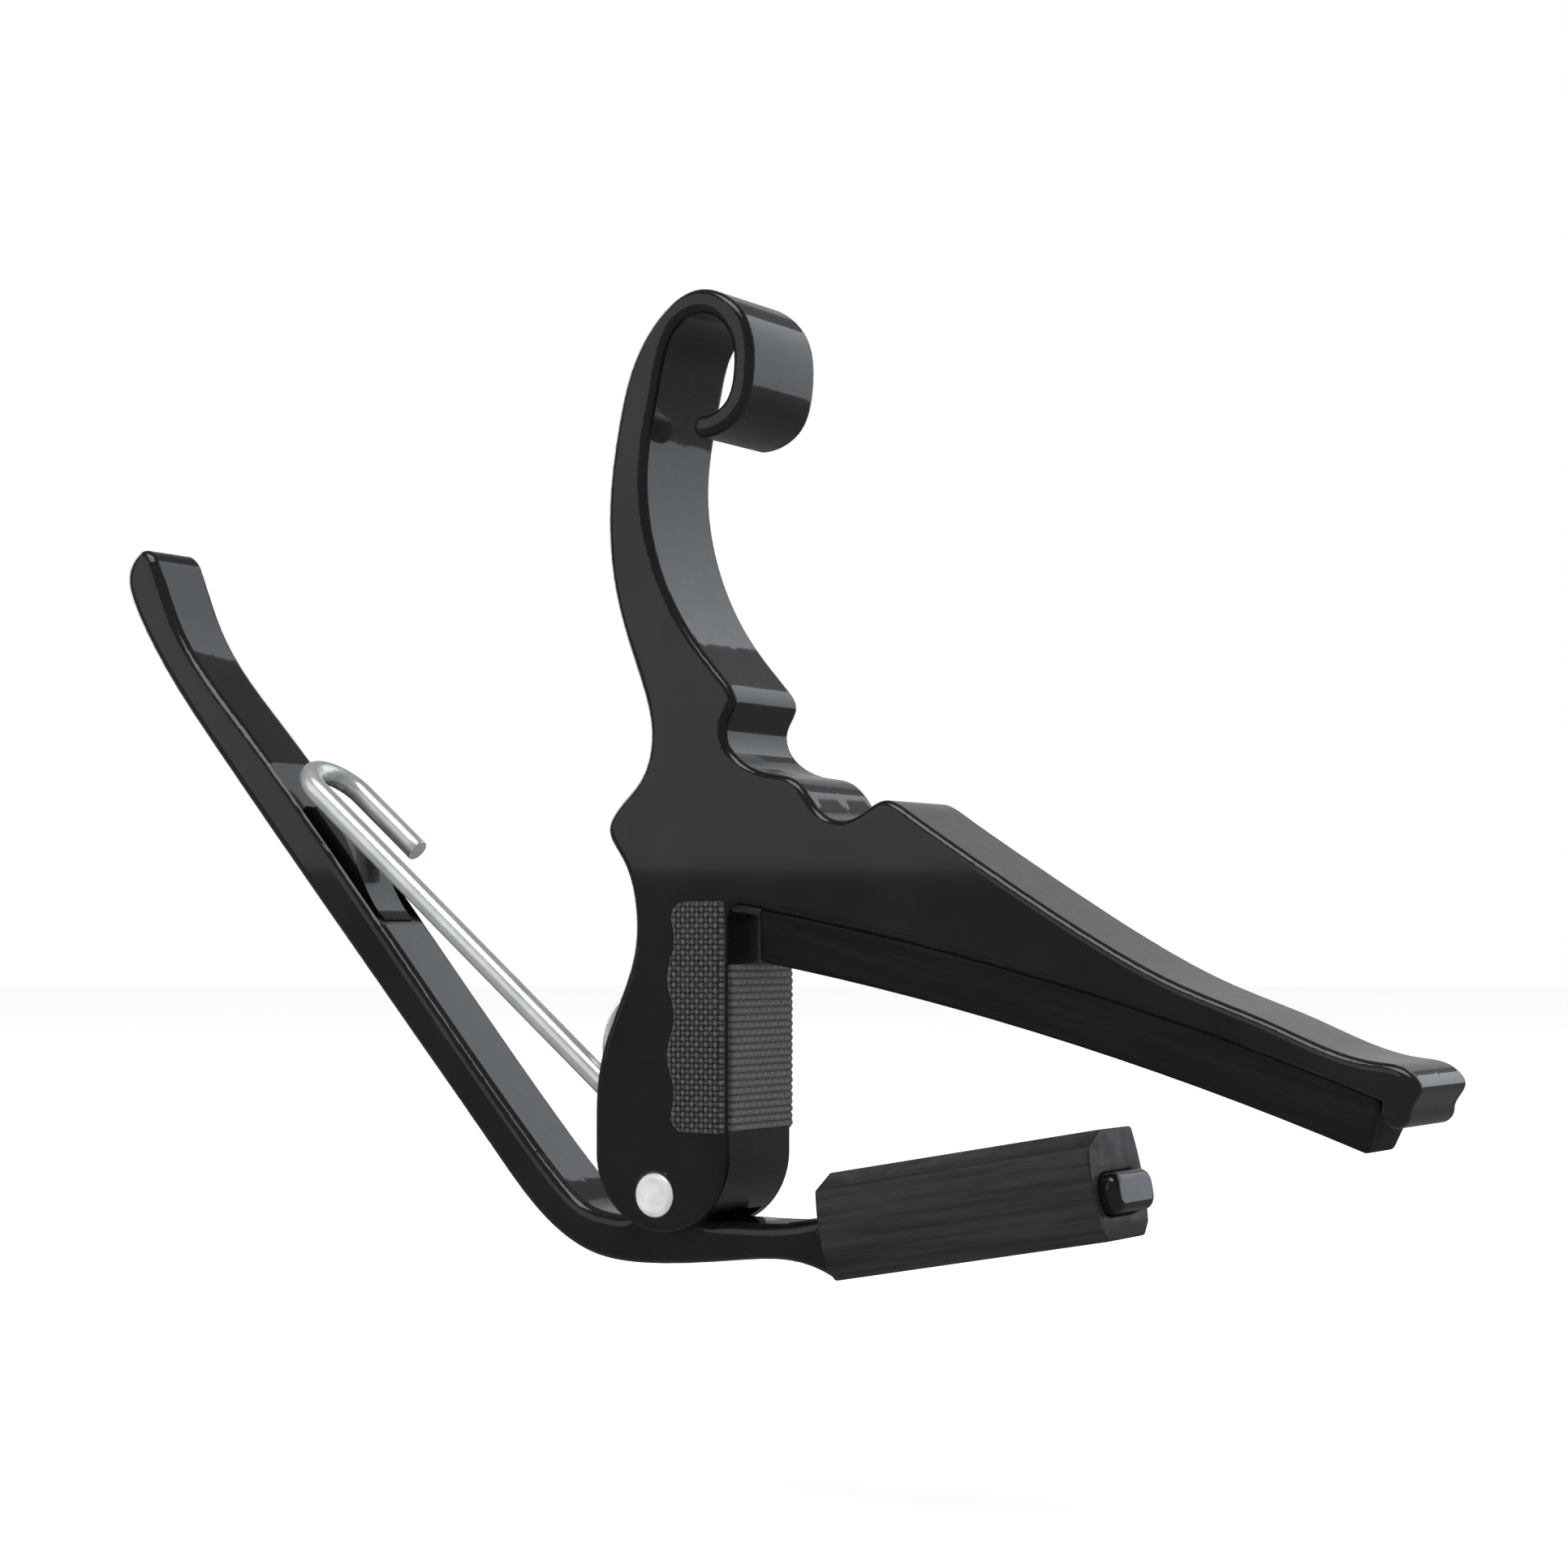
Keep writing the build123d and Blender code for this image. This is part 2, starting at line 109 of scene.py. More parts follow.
class Shader:
    """A material under construction, with short names for the nodes that finishes share."""

    def __init__(self, name: str) -> None:
        """Starts an empty material.

        Args:
            name: the material's name.
        """
        self.material = bpy.data.materials.new(name)
        self.material.use_nodes = True
        self.tree = self.material.node_tree
        self.surface = self.tree.nodes["Principled BSDF"]
        self.place = self.tree.nodes.new("ShaderNodeTexCoord").outputs["Object"]

    def set(self, **sockets: object) -> None:
        """Sets constant inputs of the surface, given by name with _ for a space."""
        for name, value in sockets.items():
            self.surface.inputs[name.replace("_", " ")].default_value = value

    def link(self, output: bpy.types.NodeSocket, socket: str) -> None:
        """Joins an output to an input of the surface."""
        self.tree.links.new(output, self.surface.inputs[socket])

    def drawn_out(self, lean: float, stretch: float) -> bpy.types.NodeSocket:
        """Object coordinates for a pattern that is drawn out along a line in the XZ plane.

        Args:
            lean: how far the line leans down from +X, in radians.
            stretch: how many times longer the pattern is along it.

        Returns:
            The mapped coordinates.
        """
        mapping = self.tree.nodes.new("ShaderNodeMapping")
        mapping.vector_type = "TEXTURE"
        mapping.inputs["Rotation"].default_value = (0, lean, 0)
        mapping.inputs["Scale"].default_value = (stretch, 1, 1)
        self.tree.links.new(self.place, mapping.inputs["Vector"])
        return mapping.outputs["Vector"]

    def noise(self, size: float, detail: float = 4.0, vector: bpy.types.NodeSocket | None = None,
              roughness: float = 0.5) -> bpy.types.NodeSocket:
        """Noise with features of about a given size.

        Args:
            size: size of a feature, in metres.
            detail: octaves.
            vector: coordinates, the object's own if left out.
            roughness: weight of the finer octaves.

        Returns:
            The noise value, from 0 to 1.
        """
        node = self.tree.nodes.new("ShaderNodeTexNoise")
        node.inputs["Scale"].default_value = 1 / size
        node.inputs["Detail"].default_value = detail
        node.inputs["Roughness"].default_value = roughness
        self.tree.links.new(vector or self.place, node.inputs["Vector"])
        return node.outputs["Fac"]

    def spread(self, value: bpy.types.NodeSocket, low: float, high: float,
               start: float = 0.3, end: float = 0.7) -> bpy.types.NodeSocket:
        """Maps one span of a value on to another, clamped.

        Args:
            value: what is mapped.
            low: result at the start.
            high: result at the end.
            start: where the value's span starts.
            end: where it ends.

        Returns:
            The mapped value.
        """
        node = self.tree.nodes.new("ShaderNodeMapRange")
        for name, number in (("From Min", start), ("From Max", end), ("To Min", low), ("To Max", high)):
            node.inputs[name].default_value = number
        self.tree.links.new(value, node.inputs["Value"])
        return node.outputs["Result"]

    def tints(self, value: bpy.types.NodeSocket, *stops: tuple[float, Triple]) -> None:
        """Colours the surface by a value.

        Args:
            value: what runs along the ramp.
            stops: place and colour of each stop.
        """
        ramp = self.tree.nodes.new("ShaderNodeValToRGB")
        points = ramp.color_ramp.elements
        while len(points) < len(stops):
            points.new(0.5)
        for point, (place, colour) in zip(points, stops):
            point.position = place
            point.color = (*colour, 1)
        self.tree.links.new(value, ramp.inputs["Fac"])
        self.link(ramp.outputs["Color"], "Base Color")

    def bump(self, height: bpy.types.NodeSocket, depth: float, strength: float = 1.0,
             over: bpy.types.NodeSocket | None = None) -> bpy.types.NodeSocket:
        """Raises the surface by a height.

        Args:
            height: the height, from 0 to 1.
            depth: how far a height of 1 stands up, in metres.
            strength: share of the effect.
            over: an earlier bump that this one lies on.

        Returns:
            The bumped normal.
        """
        node = self.tree.nodes.new("ShaderNodeBump")
        node.inputs["Distance"].default_value = depth
        node.inputs["Strength"].default_value = strength
        self.tree.links.new(height, node.inputs["Height"])
        if over:
            self.tree.links.new(over, node.inputs["Normal"])
        self.link(node.outputs["Normal"], "Normal")
        return node.outputs["Normal"]


@dataclass(frozen=True)
class Enamel:
    """Glossy black enamel baked on a casting."""

    dark: Triple = (0.0045, 0.0045, 0.005)
    light: Triple = (0.0085, 0.0085, 0.0095)
    cloud: float = 9 * MM
    speck: float = 1.2 * MM
    peel: float = 2.4 * MM
    peel_depth: float = 0.05 * MM

    def material(self) -> bpy.types.Material:
        """Deep black under a clear coat, with a faint orange peel and a few dull specks."""
        shader = Shader("enamel")
        shader.set(Roughness=0.3, Coat_Weight=1.0, Coat_Roughness=0.04, Specular_IOR_Level=0.12)
        shader.tints(shader.noise(self.cloud), (0.35, self.dark), (0.7, self.light))
        shader.link(shader.spread(shader.noise(self.speck, 4), 0.24, 0.34), "Roughness")
        shader.bump(shader.noise(self.peel, 2), self.peel_depth, 0.10)
        return shader.material


@dataclass(frozen=True)
class Steel:
    """Plated steel, drawn as wire or turned and pressed as a rivet."""

    name: str
    dark: Triple
    light: Triple
    grain: float
    shine: tuple[float, float]
    depth: float
    metal: float
    cloud: float = 2.5 * MM
    mark: float = 0.5 * MM
    lean: float = math.radians(40)

    def material(self) -> bpy.types.Material:
        """Metal with fine marks along the grain and cloudy patches in the plating."""
        shader = Shader(self.name)
        shader.set(Metallic=self.metal)
        shader.tints(shader.noise(self.cloud, 5), (0.3, self.dark), (0.62, self.light))
        marks = shader.noise(self.mark, 5, shader.drawn_out(self.lean, self.grain))
        shader.link(shader.spread(marks, *self.shine), "Roughness")
        shader.bump(marks, self.depth)
        return shader.material


@dataclass(frozen=True)
class Rubber:
    """Black rubber with streaks along the piece's length."""

    name: str
    dark: Triple
    light: Triple
    lean: float
    shine: tuple[float, float]
    streak: float
    draw: float = 22
    thread: float = 0.7 * MM
    cloud: float = 1.6 * MM
    dust: float = 0.12 * MM

    def material(self) -> bpy.types.Material:
        """Matt to satin rubber: extrusion streaks, fine grain and scattered dust."""
        shader = Shader(self.name)
        shader.set(Specular_IOR_Level=0.42)
        streaks = shader.noise(self.thread, 5, shader.drawn_out(self.lean, self.draw), 0.6)
        shader.tints(streaks, (0.32, self.dark), (0.7, self.light))
        shader.link(shader.spread(shader.noise(self.cloud, 6), *self.shine), "Roughness")
        lines = shader.bump(streaks, self.streak)
        shader.bump(shader.noise(self.dust, 3), 0.1 * self.dust, 0.6, lines)
        return shader.material


@dataclass(frozen=True)
class Yarn:
    """Dyed cotton yarn of a woven cloth, its colour also carrying painted light from the weave's relief.
    """

    name: str
    dark: Triple
    light: Triple
    fibre: float = 0.16 * MM
    fuzz: float = 0.07 * MM

    def material(self) -> bpy.types.Material:
        """Fuzzy dark yarn with painted light read from the weave's own height: a painted highlight on
        its crowns, painted shade in the valleys and along the sunk hem, and fibre noise for tone that
        varies at random.
        """
        shader = Shader(self.name)
        shader.set(Roughness=0.88, Sheen_Weight=0.25, Sheen_Roughness=0.45, Specular_IOR_Level=0.25)
        # Painted light: the crown attribute lightens the yarn tops and darkens the valleys and hem in
        # the base colour.
        crown = shader.tree.nodes.new("ShaderNodeAttribute")
        crown.attribute_name = "crown"
        fuzz = shader.spread(shader.noise(self.fibre, 5), -0.22, 0.22)
        mixed = shader.tree.nodes.new("ShaderNodeMath")
        shader.tree.links.new(crown.outputs["Fac"], mixed.inputs[0])
        shader.tree.links.new(fuzz, mixed.inputs[1])
        shader.tints(mixed.outputs["Value"], (0.15, self.dark), (0.95, self.light))
        shader.bump(shader.noise(self.fuzz, 4), 0.05 * MM, 0.8)
        return shader.material


@dataclass(frozen=True)
class Paper:
    """Plain pale studio sweep."""

    tone: float = 0.98

    def material(self) -> bpy.types.Material:
        """Matt white with the slightest mottling."""
        shader = Shader("sweep")
        shader.set(Roughness=0.95, Specular_IOR_Level=0.1)
        pale = (self.tone, self.tone, self.tone)
        shader.tints(shader.noise(0.25, 2), (0.2, tuple(0.985 * c for c in pale)), (0.8, pale))
        return shader.material


ENAMEL = Enamel()
WIRE_STEEL = Steel("plated_wire", dark=(0.74, 0.78, 0.76), light=(0.90, 0.93, 0.91), grain=24,
                   shine=(0.20, 0.34), depth=0.003 * MM, metal=0.8)
RIVET_STEEL = Steel("rivet_steel", dark=(0.68, 0.68, 0.68), light=(0.92, 0.92, 0.91), grain=1,
                    shine=(0.30, 0.48), depth=0.02 * MM, metal=0.4)
PAD_RUBBER = Rubber("pad_rubber", dark=(0.004, 0.004, 0.0042), light=(0.009, 0.009, 0.0095),
                    lean=math.radians(15), shine=(0.42, 0.58), streak=0.012 * MM)
SLEEVE_RUBBER = Rubber("sleeve_rubber", dark=(0.010, 0.010, 0.0105), light=(0.026, 0.026, 0.027),
                       lean=math.radians(-10), shine=(0.34, 0.50), streak=0.03 * MM)
STRIP_YARN = Yarn("strip_yarn", dark=(0.006, 0.006, 0.007), light=(0.088, 0.089, 0.096))
PATCH_YARN = Yarn("patch_yarn", dark=(0.004, 0.004, 0.005), light=(0.085, 0.086, 0.094))


# --- shared shop methods -------------------------------------------------------------------


def finished(mesh: bmesh.types.BMesh, name: str, body: str, finish: bpy.types.Material,
             replaces: tuple[str, ...] = (), crease: float = 35) -> bpy.types.Object:
    """Turns a bmesh into a dressed piece that rides on a body.

    Args:
        mesh: the shape, in the row frame; it is freed.
        name: the piece's name.
        body: the body that it rides on, or nothing for a piece that is left unattached.
        finish: its material.
        replaces: CAD nodes that it stands for.
        crease: edges that turn more than this many degrees stay sharp.

    Returns:
        The finished object.
    """
    bmesh.ops.recalc_face_normals(mesh, faces=mesh.faces[:])
    for face in mesh.faces:
        face.smooth = True
    for edge in mesh.edges:
        edge.smooth = len(edge.link_faces) == 2 and edge.calc_face_angle(0) < math.radians(crease)
    data = bpy.data.meshes.new(name)
    mesh.to_mesh(data)
    mesh.free()
    piece = bpy.data.objects.new(name, data)
    bpy.context.scene.collection.objects.link(piece)
    data.materials.append(finish)
    if body:
        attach(piece, body)
    if replaces:
        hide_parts(*replaces)
    log.info("%s: %d faces", name, len(data.polygons))
    return piece


def soft_copy(node: bpy.types.Object, rounding: float, crease: float = 25) -> bmesh.types.BMesh:
    """A merged copy of a CAD node whose sharp edges are rounded.

    Args:
        node: the CAD node.
        rounding: radius of its edges.
        crease: edges that turn more than this many degrees are rounded.

    Returns:
        The copy, made of flat and ruled faces.
    """
    mesh = bmesh.new()
    mesh.from_mesh(node.data)
    bmesh.ops.remove_doubles(mesh, verts=mesh.verts[:], dist=0.002 * MM)
    bmesh.ops.dissolve_limit(mesh, angle_limit=math.radians(0.4), verts=mesh.verts[:],
                             edges=mesh.edges[:])
    sharp = [e for e in mesh.edges if e.calc_face_angle(0) > math.radians(crease)]
    bmesh.ops.bevel(mesh, geom=sharp, offset=rounding, offset_type="OFFSET", segments=4, profile=0.5,
                    affect="EDGES", clamp_overlap=True, material=-1)
    return mesh


# --- sub-assemblies ------------------------------------------------------------------------


@dataclass
class Castings:
    """The enamelled frame and lever, whose CAD shapes are right as they are."""

    nodes: tuple[str, ...] = ("frame", "lever")

    def build(self, frame: dict) -> None:
        """Dresses both castings.

        Args:
            frame: the loaded frame.
        """
        enamel = ENAMEL.material()
        for name in self.nodes:
            node = frame["nodes"][name]
            node.data.materials.clear()
            node.data.materials.append(enamel)
            log.info("%s: enamelled", name)


@dataclass
class Rivet:
    """The pivot rivet, with a ring of pooled enamel round each head.

    The dish of a head is given as shares of the face's radius and of the dish's depth.
    """

    pivot: Vector
    cheek: float
    proud: float = 0.35 * MM
    radius: float = 1.95 * MM
    face_radius: float = 1.5 * MM
    dish: float = 0.10 * MM
    dish_shares: tuple[tuple[float, float], ...] = ((0.0, 1.0), (0.5, 0.9), (0.82, 0.45), (0.94, 0.05))
    ring: float = 0.26 * MM
    ring_height: float = 0.13 * MM
    ring_sink: float = 0.05 * MM
    ring_steps: int = 6
    steps: int = 72

    def _turned(self, profile: list[tuple[float, float]]) -> bmesh.types.BMesh:
        """Turns a profile of radius and Y about the pivot's axis.

        Args:
            profile: points of the half section.

        Returns:
            The closed solid.
        """
        mesh = bmesh.new()
        points = [mesh.verts.new(self.pivot + Vector((r, y, 0))) for r, y in profile]
        edges = [mesh.edges.new(pair) for pair in zip(points, points[1:])]
        bmesh.ops.spin(mesh, geom=points + edges, cent=self.pivot, axis=(0, 1, 0), angle=math.tau,
                       steps=self.steps, use_merge=True)
        bmesh.ops.remove_doubles(mesh, verts=mesh.verts[:], dist=0.001 * MM)
        return mesh

    def _shaft(self) -> bpy.types.Object:
        """The rivet itself: dished faces, rolled rims and a plain shank."""
        end = self.cheek + self.proud
        half = [(out * self.face_radius, end - deep * self.dish) for out, deep in self.dish_shares]
        half += [(self.face_radius, end), (self.face_radius + 0.1 * MM, end - 0.01 * MM),
                 (self.radius - 0.08 * MM, end - 0.27 * MM), (self.radius, end - 0.36 * MM)]
        profile = half + [(r, -y) for r, y in reversed(half)]
        return finished(self._turned(profile), "rivet", "frame", RIVET_STEEL.material(),
                        replaces=("pivot_pin",), crease=50)

    def _enamel_ring(self, side: int) -> bpy.types.Object:
        """Paint drawn up round one head.

        Args:
            side: -1 for the near cheek, 1 for the far one.

        Returns:
            The ring.
        """
        crown = [(self.radius + self.ring * k / self.ring_steps,
                  side * (self.cheek + self.ring_height * math.cos(math.pi / 2 * k / self.ring_steps)))
                 for k in range(self.ring_steps + 1)]
        root = side * (self.cheek - self.ring_sink)
        base = [(self.radius + self.ring, root), (self.radius, root)]
        name = "rivet_ring_near" if side < 0 else "rivet_ring_far"
        return finished(self._turned(crown + base + crown[:1]), name, "frame",
                        ENAMEL.material(), crease=50)

    def build(self) -> None:
        """Makes the rivet and both rings."""
        self._shaft()
        self._enamel_ring(-1)
        self._enamel_ring(1)


@dataclass
class TorsionSpring:
    """Round wire: a hook over the handle's rib, a long leg, the coil and a short leg in the channel."""

    pivot: Vector
    wire: float = 2.1 * MM
    coil_middle: Vector = field(default_factory=lambda: Vector((-1.9 * MM, 0, 12.0 * MM)))
    coil_radius: float = 5.4 * MM
    coil_half_width: float = 2.8 * MM
    turns: float = 2.0
    leg_lean: float = math.radians(140)
    leg_length: float = 43.0 * MM
    hook_spread: float = 6.6 * MM
    return_length: float = 8.4 * MM
    short_leg: float = 12.6 * MM
    easing: float = 0.12        # how much flatter the coil's ends start
    bend_from: float = 7 * MM   # a distance along the long leg, from its foot
    bend_to: float = 36 * MM    # and a further distance along it
    cut_bevel: float = 0.12 * MM
    sides: int = 24
    end_steps: int = 8
    hook_steps: int = 24
    leg_steps: int = 40
    coil_steps: int = 150

    def _on_coil(self, angle: float, y: float) -> Vector:
        """Point of the coil's middle line at an angle about its axis."""
        spoke = Vector((math.cos(angle), 0, math.sin(angle))) * self.coil_radius
        return self.pivot + self.coil_middle + spoke + Vector((0, y, 0))

    def _route(self) -> list[Vector]:
        """Middle line of the wire, from the hook's cut end to the short leg's.

        Returns:
            Its points, close enough together to bend smoothly.
        """
        foot = self._on_coil(self.leg_lean + math.pi / 2, -self.coil_half_width)
        splay = math.atan2(self.hook_spread / 2 - self.coil_half_width, self.leg_length)
        lean = Vector((math.cos(self.leg_lean), 0, math.sin(self.leg_lean)))
        along = lean * math.cos(splay) + Vector((0, -math.sin(splay), 0))
        across = lean * math.sin(splay) + Vector((0, math.cos(splay), 0))
        far = foot + along * self.leg_length
        hook = self.hook_spread / 2
        points = [far + across * 2 * hook - along * self.return_length * (1 - k / self.end_steps)
                  for k in range(self.end_steps)]
        bends = [math.pi * k / self.hook_steps for k in range(self.hook_steps + 1)]
        points += [far + across * hook * (1 + math.cos(bend)) + along * hook * math.sin(bend)
                   for bend in bends]
        points += [far - along * self.leg_length * k / self.leg_steps for k in range(1, self.leg_steps)]
        sweep = math.tau * self.turns + math.tau - (self.leg_lean + math.pi / 2)
        for k in range(self.coil_steps + 1):
            share = k / self.coil_steps
            ease = share - math.sin(math.tau * share) / math.tau * self.easing
            points.append(self._on_coil(self.leg_lean + math.pi / 2 + sweep * share,
                                        self.coil_half_width * (2 * ease - 1)))
        points += [points[-1] + Vector((0, 0, self.short_leg * k / self.end_steps))
                   for k in range(1, self.end_steps + 1)]
        return points

    def _wire_along(self, points: list[Vector]) -> bmesh.types.BMesh:
        """Pushes a ring along a middle line and closes it with bevelled ends.

        Args:
            points: the middle line.

        Returns:
            The wire.
        """
        mesh = bmesh.new()
        ways = [(b - a).normalized() for a, b in zip(points, points[1:])]
        ways = [ways[0]] + [(a + b).normalized() for a, b in zip(ways, ways[1:])] + [ways[-1]]
        turn = Vector((0, 0, 1)).rotation_difference(ways[0])
        place = Matrix.Translation(points[0]) @ turn.to_matrix().to_4x4()
        ring = bmesh.ops.create_circle(mesh, segments=self.sides, radius=self.wire / 2, cap_ends=True,
                                       matrix=place)["verts"]
        edges = list({e for v in ring for e in v.link_edges})
        for before, way, point in zip(ways, ways[1:], points[1:]):
            turn = before.rotation_difference(way) @ turn
            step = Matrix.Translation(point) @ turn.to_matrix().to_4x4()
            pushed = bmesh.ops.extrude_edge_only(mesh, edges=edges)["geom"]
            ring = [g for g in pushed if isinstance(g, bmesh.types.BMVert)]
            edges = [g for g in pushed if isinstance(g, bmesh.types.BMEdge)]
            bmesh.ops.transform(mesh, matrix=step @ place.inverted(), verts=ring)
            place = step
        bmesh.ops.edgeloop_fill(mesh, edges=edges)
        rims = [e for e in mesh.edges if e.calc_face_angle(0) > math.radians(60)]
        bmesh.ops.bevel(mesh, geom=rims, offset=self.cut_bevel, offset_type="OFFSET", segments=2,
                        profile=0.5, affect="EDGES", clamp_overlap=True, material=-1)
        return mesh

    def build(self) -> None:
        """Makes the spring as one unattached piece, its long leg along the lever at rest and its coil in
        the frame.
        """
        points = self._route()
        spring = finished(self._wire_along(points), "torsion_spring_wire", "",
                          WIRE_STEEL.material(), replaces=("torsion_spring",))
        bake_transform(spring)


@dataclass
class StringPad:
    """Moulded rubber pad that presses the strings."""

    rounding: float = 0.45 * MM

    def build(self, frame: dict) -> None:
        """Makes the pad on its CAD shape, with soft edges.

        Args:
            frame: the loaded frame.
        """
        mesh = soft_copy(frame["nodes"]["string_pad"], self.rounding)
        finished(mesh, "string_pad_rubber", "frame", PAD_RUBBER.material(),
                 replaces=("string_pad",))


@dataclass
class NeckSleeve:
    """Length of profiled rubber tube pushed on the lower arm."""

    rounding: float = 0.22 * MM

    def build(self, frame: dict) -> None:
        """Makes the sleeve on its CAD shape, with soft edges.

        Args:
            frame: the loaded frame.
        """
        mesh = soft_copy(frame["nodes"]["neck_sleeve"], self.rounding)
        finished(mesh, "neck_sleeve_rubber", "lever", SLEEVE_RUBBER.material(),
                 replaces=("neck_sleeve",))


@dataclass
class Cloth:
    """A piece of woven cloth glued to the fork, its yarns modelled one by one.

    It is made lying in its own plane, u across and v up, then lapped round the fork's rounded edge
    and stood in place. Of its width, lap is what runs past the CAD solid at each lapped side, and
    flat_left is the flat face that is left there before the rounding starts.
    """

    name: str
    node: str
    weave: Weave
    slot: Slot
    yarn: Yarn
    place: Matrix
    width: float
    height: float
    rib: float
    pick: float
    base: float = 0.22 * MM
    relief: float = 0.24 * MM
    fineness: int = 7
    wavy: bool = False
    lobes: int = 3
    wave: float = 0.7 * MM
    corner: float = 2.2 * MM
    hem: float = 0.3 * MM
    hem_drop: float = 0.22 * MM
    fray: float = 0.05 * MM
    fray_pitch: float = 0.13 * MM
    lap: float = 0.0
    flat_left: float = 0.0
    laps_both: bool = False

    def _lapped(self, u: float, height: float) -> tuple[float, float]:
        """Bends a point past the flat face round the fork's rounded edge.

        Args:
            u: distance across the cloth from its glued edge's line, less than zero in front of it.
            height: height above the face.

        Returns:
            The bent point's distance and height.
        """
        span = self.width - self.lap * (2 if self.laps_both else 1)
        for line, turn in ((-self.flat_left, -1), (span + self.flat_left, 1)):
            beyond = (u - line) * turn
            if beyond > 0 and (turn < 0 or self.laps_both):
                angle = beyond / FORK_EDGE
                return (line + turn * (FORK_EDGE + height) * math.sin(angle),
                        (FORK_EDGE + height) * math.cos(angle) - FORK_EDGE)
        return u, height

    def _relief_at(self, u: float, v: float) -> float:
        """Height of the yarns above the cloth's base, from 0 to 1.

        Args:
            u: distance across the cloth.
            v: distance up it.

        Returns:
            The height.
        """
        row, column = math.floor(v / self.rib), math.floor(u / self.pick)
        rib = math.sin(math.pi * (v / self.rib - row))
        pick = math.sin(math.pi * (u / self.pick - column))
        if self.weave is Weave.RIBBED:
            return rib ** 0.6 * (0.72 + 0.28 * pick ** 0.5 * (1 if (row + column) % 2 else 0.45))
        over = (row + column) % 2
        crown = rib ** 0.5 * pick ** 0.8 if over else rib ** 0.8 * pick ** 0.5
        return crown * (1.0 if over else 0.62)

    def _rear(self, v: float) -> float:
        """Width of the cloth at a height: straight, or wavy with round corners.

        Args:
            v: distance up the cloth.

        Returns:
            The width.
        """
        if not self.wavy:
            return self.width
        neck = self.wave * (0.5 - 0.5 * math.cos(math.tau * self.lobes * v / self.height + math.pi))
        end = min(v, self.height - v)
        missing = max(0.0, 1 - end / self.corner)
        return self.width - self.wave + neck - self.corner * (1 - math.sqrt(1 - missing ** 2)) * 0.9

    def build(self) -> None:
        """Makes the cloth and stands it in its place."""
        across = round(self.width / self.pick) * self.fineness
        up = round(self.height / self.rib) * self.fineness
        mesh = bmesh.new()
        bmesh.ops.create_grid(mesh, x_segments=across, y_segments=up, size=0.5)
        crown = mesh.verts.layers.float.new("crown")
        rim = [e for e in mesh.edges if len(e.link_faces) == 1]
        for vert in mesh.verts:
            share, v = vert.co.x + 0.5, (vert.co.y + 0.5) * self.height
            fray = self.fray * math.sin(v / self.fray_pitch) * share
            u = share * (self._rear(v) + fray)
            relief = self._relief_at(u, v)
            edge = min(u, self._rear(v) - u, v, self.height - v)
            sink = max(0.0, 1 - edge / self.hem) ** 2
            # The crown value is painted light: the yarn height stored as colour, cut by up to half along
            # the sunk hem for painted shade there.
            vert[crown] = relief * (1 - 0.5 * sink)
            vert.co = (u, v, self.base + self.relief * relief - self.hem_drop * sink)
        skirt = bmesh.ops.extrude_edge_only(mesh, edges=rim)["geom"]
        foot = [g for g in skirt if isinstance(g, bmesh.types.BMVert)]
        for vert in foot:
            vert.co.z = 0
        bmesh.ops.edgeloop_fill(mesh, edges=[g for g in skirt if isinstance(g, bmesh.types.BMEdge)])
        for vert in mesh.verts:
            vert.co.x, vert.co.z = self._lapped(vert.co.x - self.lap, vert.co.z)
        bmesh.ops.transform(mesh, matrix=self.place, verts=mesh.verts[:])
        finished(mesh, self.name, "frame", self.yarn.material(), replaces=(self.node,),
                 crease=70)


def fork_cloths() -> list[Cloth]:
    """The ribbed strip on the fork's front and the wavy patch on each cheek.

    Returns:
        The three cloths.
    """
    lap = 0.55 * MM
    low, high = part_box("front_strip")
    stand = Matrix(((0, 0, 1), (1, 0, 0), (0, 1, 0))).to_4x4()
    cloths = [Cloth("front_strip_cloth", "front_strip", Weave.RIBBED, Slot.RIBBED, STRIP_YARN,
                    place=Matrix.Translation((low.x, low.y, low.z)) @ stand,
                    width=high.y - low.y + 2 * lap, height=high.z - low.z,
                    rib=0.62 * MM, pick=0.52 * MM, lap=lap, flat_left=0.3 * MM, laps_both=True)]
    lap = 0.75 * MM
    for side, node in ((-1, "cheek_patch_near"), (1, "cheek_patch_far")):
        low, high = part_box(node)
        face = high.y if side < 0 else low.y
        lay = Matrix(((-1, 0, 0), (0, 0, side), (0, 1, 0))).to_4x4()
        cloths.append(Cloth(f"{node}_cloth", node, Weave.PLAIN, Slot.WOVEN, PATCH_YARN,
                            place=Matrix.Translation((high.x, face, low.z)) @ lay,
                            width=high.x - low.x + lap, height=high.z - low.z,
                            rib=0.46 * MM, pick=0.46 * MM, relief=0.22 * MM, fineness=6,
                            wavy=True, lap=lap, flat_left=0.2 * MM))
    return cloths


# --- studio --------------------------------------------------------------------------------


@dataclass(frozen=True)
class Softbox:
    """A rectangular light: its place, width and height, watts and colour."""

    name: str
    at: Triple
    size: tuple[float, float]
    power: float
    tint: Triple = (1, 1, 1)

    def build(self, aim: Vector) -> None:
        """Hangs the light.

        Args:
            aim: the point that it faces.
        """
        data = bpy.data.lights.new(self.name, "AREA")
        data.color = self.tint
        data.shape = "RECTANGLE"
        data.size, data.size_y = self.size
        data.energy = self.power
        light = bpy.data.objects.new(self.name, data)
        light.location = self.at
        light.rotation_mode = "QUATERNION"
        light.rotation_quaternion = (aim - light.location).to_track_quat("-Z", "Y")
        light.visible_camera = False
        bpy.context.scene.collection.objects.link(light)


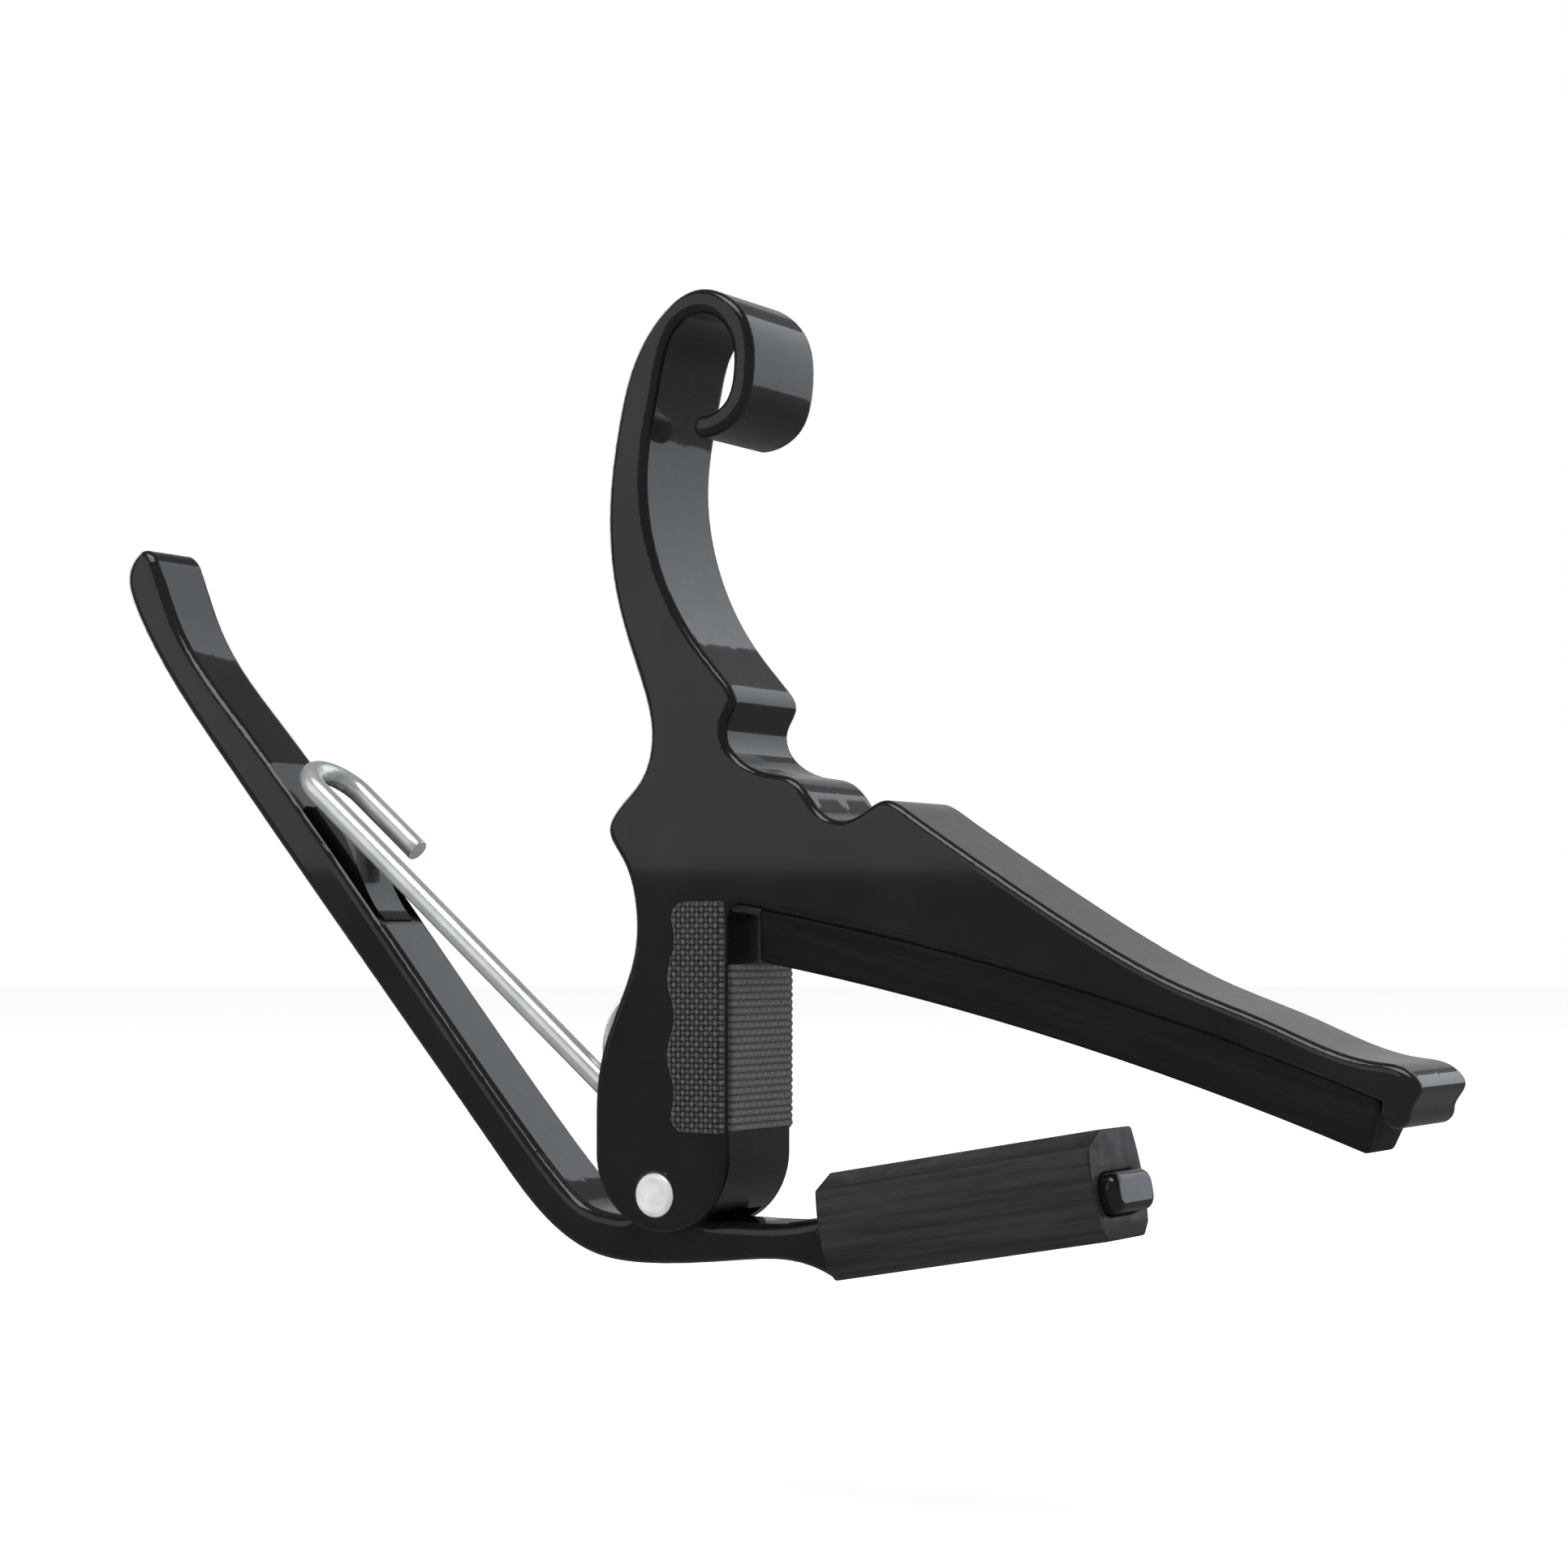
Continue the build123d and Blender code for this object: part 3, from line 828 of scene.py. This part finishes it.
SOFTBOXES = (
    Softbox("side_box", at=(-0.60, -0.95, 0.46), size=(1.1, 0.9), power=1.75),
    Softbox("back_box", at=(0.46, 0.85, 0.40), size=(0.85, 0.80), power=1.9, tint=(0.90, 0.97, 1.05)),
    Softbox("bar_box", at=(-0.45, 0.90, 0.32), size=(0.9, 0.5), power=0.32),
    Softbox("top_box", at=(0.15, -0.30, 0.95), size=(0.6, 0.5), power=3.0),
    Softbox("rim_box", at=(-0.95, 0.25, 0.30), size=(0.4, 0.8), power=2.4),
)


@dataclass
class Studio:
    """Pale sweep, soft lights and the camera."""

    pivot: Vector
    opened: float
    eye: Vector = field(default_factory=lambda: Vector((0.14482, -0.24747, 0.00951)))
    look: Vector = field(default_factory=lambda: Vector((0.00197, -0.00005, 0.02265)))
    lens: float = 76.0
    backdrop: Triple = (1.0, 1.0, 1.0)
    ambient: Triple = (1.02, 1.02, 1.02)
    surroundings: Triple = (0.13, 0.135, 0.14)
    floor_radius: float = 3.0

    def _camera(self) -> None:
        """Sets the scene's camera at eye level with the jaw."""
        data = bpy.data.cameras.new("camera")
        data.lens = self.lens
        data.clip_start = 0.01
        camera = bpy.data.objects.new("camera", data)
        camera.location = self.eye
        camera.rotation_mode = "QUATERNION"
        camera.rotation_quaternion = (self.look - self.eye).to_track_quat("-Z", "Y")
        bpy.context.scene.collection.objects.link(camera)
        bpy.context.scene.camera = camera

    def _world(self) -> None:
        """White for the eye and for soft fill, dim grey for what the gloss picks up."""
        world = bpy.data.worlds.new("studio")
        world.use_nodes = True
        bpy.context.scene.world = world
        tree = world.node_tree
        path = tree.nodes.new("ShaderNodeLightPath")
        so_far = tree.nodes["Background"]
        so_far.inputs["Color"].default_value = (*self.ambient, 1)
        for ray, colour in (("Is Camera Ray", self.backdrop), ("Is Glossy Ray", self.surroundings)):
            other = tree.nodes.new("ShaderNodeBackground")
            other.inputs["Color"].default_value = (*colour, 1)
            mix = tree.nodes.new("ShaderNodeMixShader")
            tree.links.new(path.outputs[ray], mix.inputs["Fac"])
            tree.links.new(so_far.outputs[0], mix.inputs[1])
            tree.links.new(other.outputs["Background"], mix.inputs[2])
            so_far = mix
        tree.links.new(so_far.outputs[0], tree.nodes["World Output"].inputs["Surface"])

    def _sweep(self) -> None:
        """Lays the pale floor just under the lowest place that the opened arm reaches."""
        low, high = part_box("neck_sleeve")
        corner = Vector((high.x - self.pivot.x, 0, low.z - self.pivot.z))
        reach = Matrix.Rotation(self.opened, 3, "Y") @ corner
        mesh = bmesh.new()
        place = Matrix.Translation((0, 0, self.pivot.z + reach.z))
        bmesh.ops.create_circle(mesh, cap_ends=True, segments=96, radius=self.floor_radius, matrix=place)
        data = bpy.data.meshes.new("floor")
        mesh.to_mesh(data)
        mesh.free()
        floor = bpy.data.objects.new("floor", data)
        data.materials.append(Paper().material())
        floor.visible_glossy = False
        bpy.context.scene.collection.objects.link(floor)

    def build(self) -> None:
        """Sets up the sweep, the world, the lights and the camera."""
        self._sweep()
        self._world()
        for box in SOFTBOXES:
            box.build(self.look)
        self._camera()
        bpy.context.scene.view_settings.view_transform = "Standard"
        log.info("studio set")


def main() -> None:
    """Builds the capo's looks piece by piece."""
    logging.basicConfig(level=logging.INFO, format="%(name)s: %(message)s")
    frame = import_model()
    pivot = Vector(frame["joints"][0]["pos_m"])
    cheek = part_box("frame")[1].y
    Castings().build(frame)
    Rivet(pivot, cheek).build()
    TorsionSpring(pivot).build()
    StringPad().build(frame)
    NeckSleeve().build(frame)
    for cloth in fork_cloths():
        cloth.build()
    Studio(pivot, LEVER_OPENS).build()


if __name__ == "__main__":
    main()
